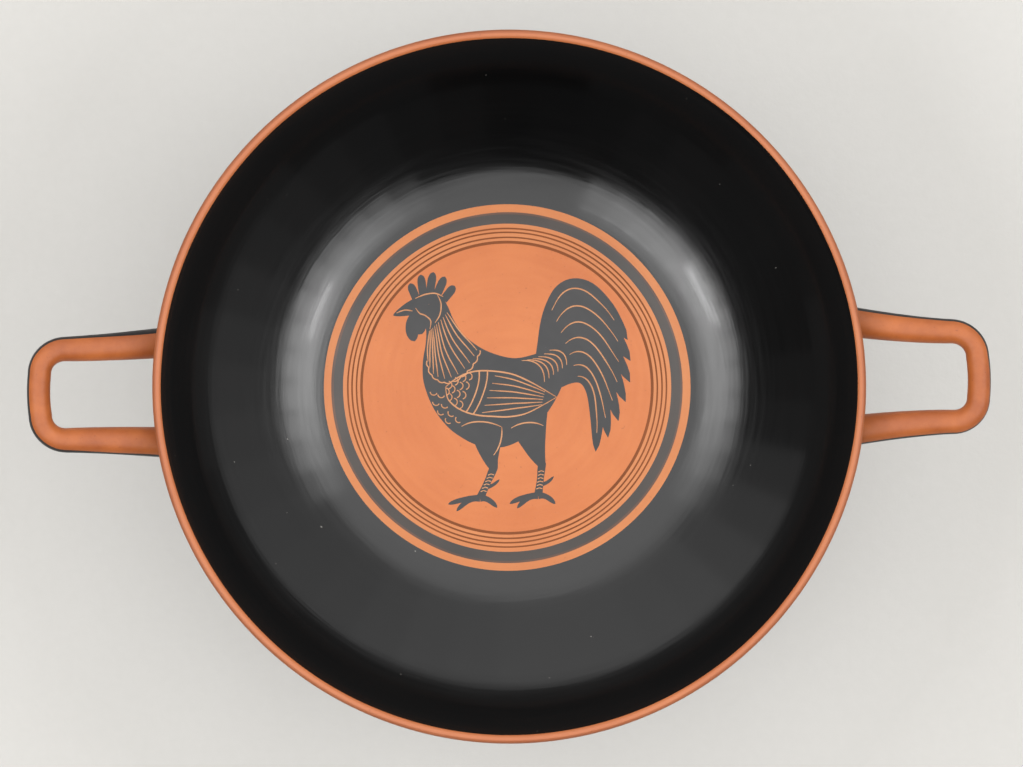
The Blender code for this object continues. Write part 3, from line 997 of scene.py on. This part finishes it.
def gloss(name, dark, pale, smooth, rough, ridge, shine=0.5):
    """Black or thin brown gloss slip, brushed on as the pot turned, which left ridges of this height."""
    nodes = Nodes(name)
    fine = nodes.noise(nodes.around(7.0, 1100.0), 1.0, 2.0)
    brush = nodes.noise(nodes.around(3.2, 420.0), 1.0, 3.0)
    broad = nodes.noise(nodes.around(1.4, 110.0), 1.0, 2.0)
    cloud = nodes.noise(nodes.place, 28.0, 4.0)
    marks = nodes.weigh(brush, 0.6, broad, 0.4)
    height = nodes.weigh(fine, 0.2, brush, 0.7)
    nodes.bump(nodes.maths("ADD", height, nodes.maths("MULTIPLY", broad, 2.0)), ridge)
    colour = nodes.blend(nodes.span(cloud, 0.35, 0.75, 0.0, 1.0), dark, pale)
    specks = nodes.span(nodes.noise(nodes.place, 420.0, 1.0), 0.82, 0.86, 0.0, 0.6)
    colour = nodes.blend(specks, colour, (0.22, 0.21, 0.19))
    nodes.shader.inputs["Specular IOR Level"].default_value = shine
    return nodes.finish(colour, nodes.span(marks, 0.36, 0.64, smooth, rough))


def clay(name, light, deep, rough, dents=0.0, clouds=22.0):
    """Bare fired clay, burnished and clouded: wheel-turned, or shaped by hand with dents of this depth."""
    nodes = Nodes(name)
    cloud = nodes.noise(nodes.place, clouds, 5.0, 0.6)
    grain = nodes.noise(nodes.place, 900.0, 2.0)
    marks = nodes.noise(nodes.place, 55.0, 1.0) if dents else nodes.noise(nodes.around(2.0, 300.0), 1.0, 2.0)
    share = nodes.weigh(cloud, 0.7, marks, 0.3)
    colour = nodes.blend(nodes.span(share, 0.35, 0.68, 0.0, 1.0), light, deep)
    specks = nodes.span(nodes.noise(nodes.place, 700.0, 1.0), 0.73, 0.79, 0.0, 0.4)
    colour = nodes.blend(specks, colour, tuple(0.45 * c for c in deep))
    nodes.bump(nodes.weigh(grain, GRAIN_HEIGHT, marks, dents or GRAIN_HEIGHT), 1.0)
    return nodes.finish(colour, nodes.span(grain, 0.3, 0.7, rough - 0.06, rough + 0.06))


def finish_materials():
    """The cup's finishes, one for each of its material slots."""
    return [
        gloss("black_gloss", (0.0006, 0.0006, 0.0007), (0.0012, 0.001, 0.001), 0.09, 0.155, 0.000016),
        gloss("thin_gloss", (0.045, 0.02, 0.011), (0.095, 0.04, 0.02), 0.34, 0.46, 0.00002),
        gloss("painted_line", (0.135, 0.038, 0.009), (0.185, 0.053, 0.015), 0.5, 0.6, 0.00002, 0.2),
        clay("picture_clay", (0.432, 0.125, 0.029), (0.38, 0.098, 0.019), 0.5),
        clay("lip_clay", (0.38, 0.117, 0.037), (0.33, 0.09, 0.025), 0.46),
        clay("bare_clay", (0.375, 0.1, 0.019), (0.235, 0.052, 0.008), 0.5, 0.0003, 70.0),
        clay("scratched_clay", (0.45, 0.22, 0.105), (0.4, 0.17, 0.072), 0.6),
        gloss("figure_gloss", (0.01, 0.01, 0.011), (0.02, 0.0185, 0.0185), 0.36, 0.48, 0.00003),
        gloss("band_gloss", (0.02, 0.015, 0.012), (0.034, 0.023, 0.017), 0.3, 0.42, 0.00002),
        clay("ring_clay", (0.435, 0.15, 0.044), (0.385, 0.118, 0.03), 0.5),
        # Painted shade: the lip's outer edge, clay darkened where it turns down
        clay("lip_edge_painted_shade", (0.315, 0.094, 0.031), (0.265, 0.07, 0.021), 0.48),
        gloss("outer_gloss", (0.0015, 0.001, 0.0011), (0.006, 0.003, 0.0035), 0.38, 0.5, 0.00002, 0.35),
    ]


def place_camera():
    """Looks down at the cup from the photograph's place, with its lean and roll."""
    pixels_per_metre = RIM_WIDTH_PX / (2 * RIM_RADIUS)
    data = bpy.data.cameras.new("camera")
    data.sensor_width = SENSOR_WIDTH
    data.lens = SENSOR_WIDTH * pixels_per_metre * CAMERA_DISTANCE / PHOTO_WIDTH
    camera = bpy.data.objects.new("camera", data)
    bpy.context.scene.collection.objects.link(camera)
    bpy.context.scene.camera = camera

    back = Vector((*CAMERA_LEAN, 1)).normalized()
    right = Vector((math.cos(CAMERA_ROLL), -math.sin(CAMERA_ROLL), 0))
    right = (right - back * right.dot(back)).normalized()
    up = back.cross(right)
    shift_x, shift_y = (a - b for a, b in zip(PHOTO_CENTRE_PX, RIM_CENTRE_PX))
    target = Vector((0, 0, CUP_HEIGHT)) + (right * shift_x - up * shift_y) / pixels_per_metre
    turn = Matrix((right, up, back)).transposed().to_4x4()
    camera.matrix_world = Matrix.Translation(target + back * CAMERA_DISTANCE) @ turn


def area_light(name, place, aim, width, length, radiance, shape="RECTANGLE"):
    """A soft box that faces aim, its width level. Its radiance is what a mirror would show of it."""
    data = bpy.data.lights.new(name, "AREA")
    data.shape = shape
    data.size, data.size_y = width, length
    round_share = math.pi / 4 if shape == "ELLIPSE" else 1
    data.energy = radiance * math.pi * width * length * round_share
    light = bpy.data.objects.new(name, data)
    back = (Vector(place) - Vector(aim)).normalized()
    level = Vector((0, 0, 1)).cross(back)
    level = level.normalized() if level.length > 0.01 else Vector((1, 0, 0))
    turn = Matrix((level, back.cross(level), back)).transposed().to_4x4()
    light.matrix_world = Matrix.Translation(place) @ turn
    light.visible_camera = False
    bpy.context.scene.collection.objects.link(light)


def set_lights():
    """A soft round ceiling, a bank and a lamp on either side, and walls all round, palest beyond the cup."""
    centre = Vector((0, 0, CUP_HEIGHT))

    def overhead(azimuth, lean, distance):
        turn, lean = math.radians(azimuth), math.radians(lean)
        out, up = math.sin(lean), math.cos(lean)
        return centre + distance * Vector((out * math.cos(turn), out * math.sin(turn), up))

    def wall(name, azimuth, height, box, radiance):
        turn = math.radians(azimuth)
        place = (WALL_DISTANCE * math.cos(turn), WALL_DISTANCE * math.sin(turn), height)
        area_light(f"{name}_{azimuth}", place, (0, 0, height), *box, radiance)

    area_light("ceiling", overhead(0, 0, CEILING_HEIGHT), centre, *CEILING, shape="ELLIPSE")
    for turns, glow, leans in BANKS:
        for azimuth in range(turns[0], turns[-1] + 1, BANK_STEP):
            radiance = np.interp(azimuth, turns, glow)
            place = overhead(azimuth, np.interp(azimuth, BANK_LEAN_TURNS, leans), BANK_DISTANCE)
            area_light(f"bank_{azimuth}", place, centre, *BANK_BOX, radiance)
    for name, azimuth, lean, *box in LAMPS:
        area_light(name, overhead(azimuth, lean, LAMP_DISTANCE), centre, *box)
    for i in range(2 * len(WALLS)):
        radiance = (WALLS[i // 2] + WALLS[(i + 1) // 2 % len(WALLS)]) / 2
        wall("wall", 10 * i - 90, WALL_MIDDLE, WALL_BOX, radiance)
    for i, radiance in enumerate(LOW_WALLS):
        wall("low_wall", 30 * i - 60, LOW_WALL_MIDDLE, LOW_WALL_BOX, radiance)

    world = bpy.data.worlds.new("studio")
    world.use_nodes = True
    tree = world.node_tree
    seen = tree.nodes.new("ShaderNodeLightPath")
    strength = tree.nodes.new("ShaderNodeMapRange")
    strength.inputs["To Min"].default_value = BACKDROP_LIGHT
    strength.inputs["To Max"].default_value = BACKDROP_SEEN
    tree.links.new(seen.outputs["Is Camera Ray"], strength.inputs["Value"])
    background = tree.nodes["Background"]
    background.inputs["Color"].default_value = BACKDROP
    tree.links.new(strength.outputs["Result"], background.inputs["Strength"])
    bpy.context.scene.world = world
    bpy.context.scene.view_settings.view_transform = "Standard"


def set_floor():
    """A plain pale floor with the grain of paper, and painted light that makes it a little paler where the
    cup keeps some light off it.
    """
    bpy.ops.mesh.primitive_plane_add(size=FLOOR_SIZE, location=(0, 0, 0))
    floor = bpy.context.object
    floor.name = "floor"
    nodes = Nodes("pale_paper")
    cloud = nodes.noise(nodes.place, 6.0, 4.0)
    fibre = nodes.noise(nodes.place, 180.0, 3.0, 0.6)
    share = nodes.weigh(cloud, 0.7, fibre, 0.3)
    # Painted light: the floor's colour is paler near the cup, to lift the cup's shadow
    beyond_painted_light = nodes.span(nodes.split()[3], *PAINTED_LIGHT_FADE, 0.0, 0.75)
    share = nodes.maths("ADD", beyond_painted_light, nodes.span(share, 0.35, 0.65, 0.0, 0.25))
    colour = nodes.blend(share, FLOOR_PALE, FLOOR_DARK)
    nodes.bump(fibre, 0.0002)
    floor.data.materials.append(nodes.finish(colour, 0.9))


place_camera()
set_lights()
set_floor()
cup = finished_cup(finish_materials())
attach(cup, "root")
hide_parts("kylix_cup")
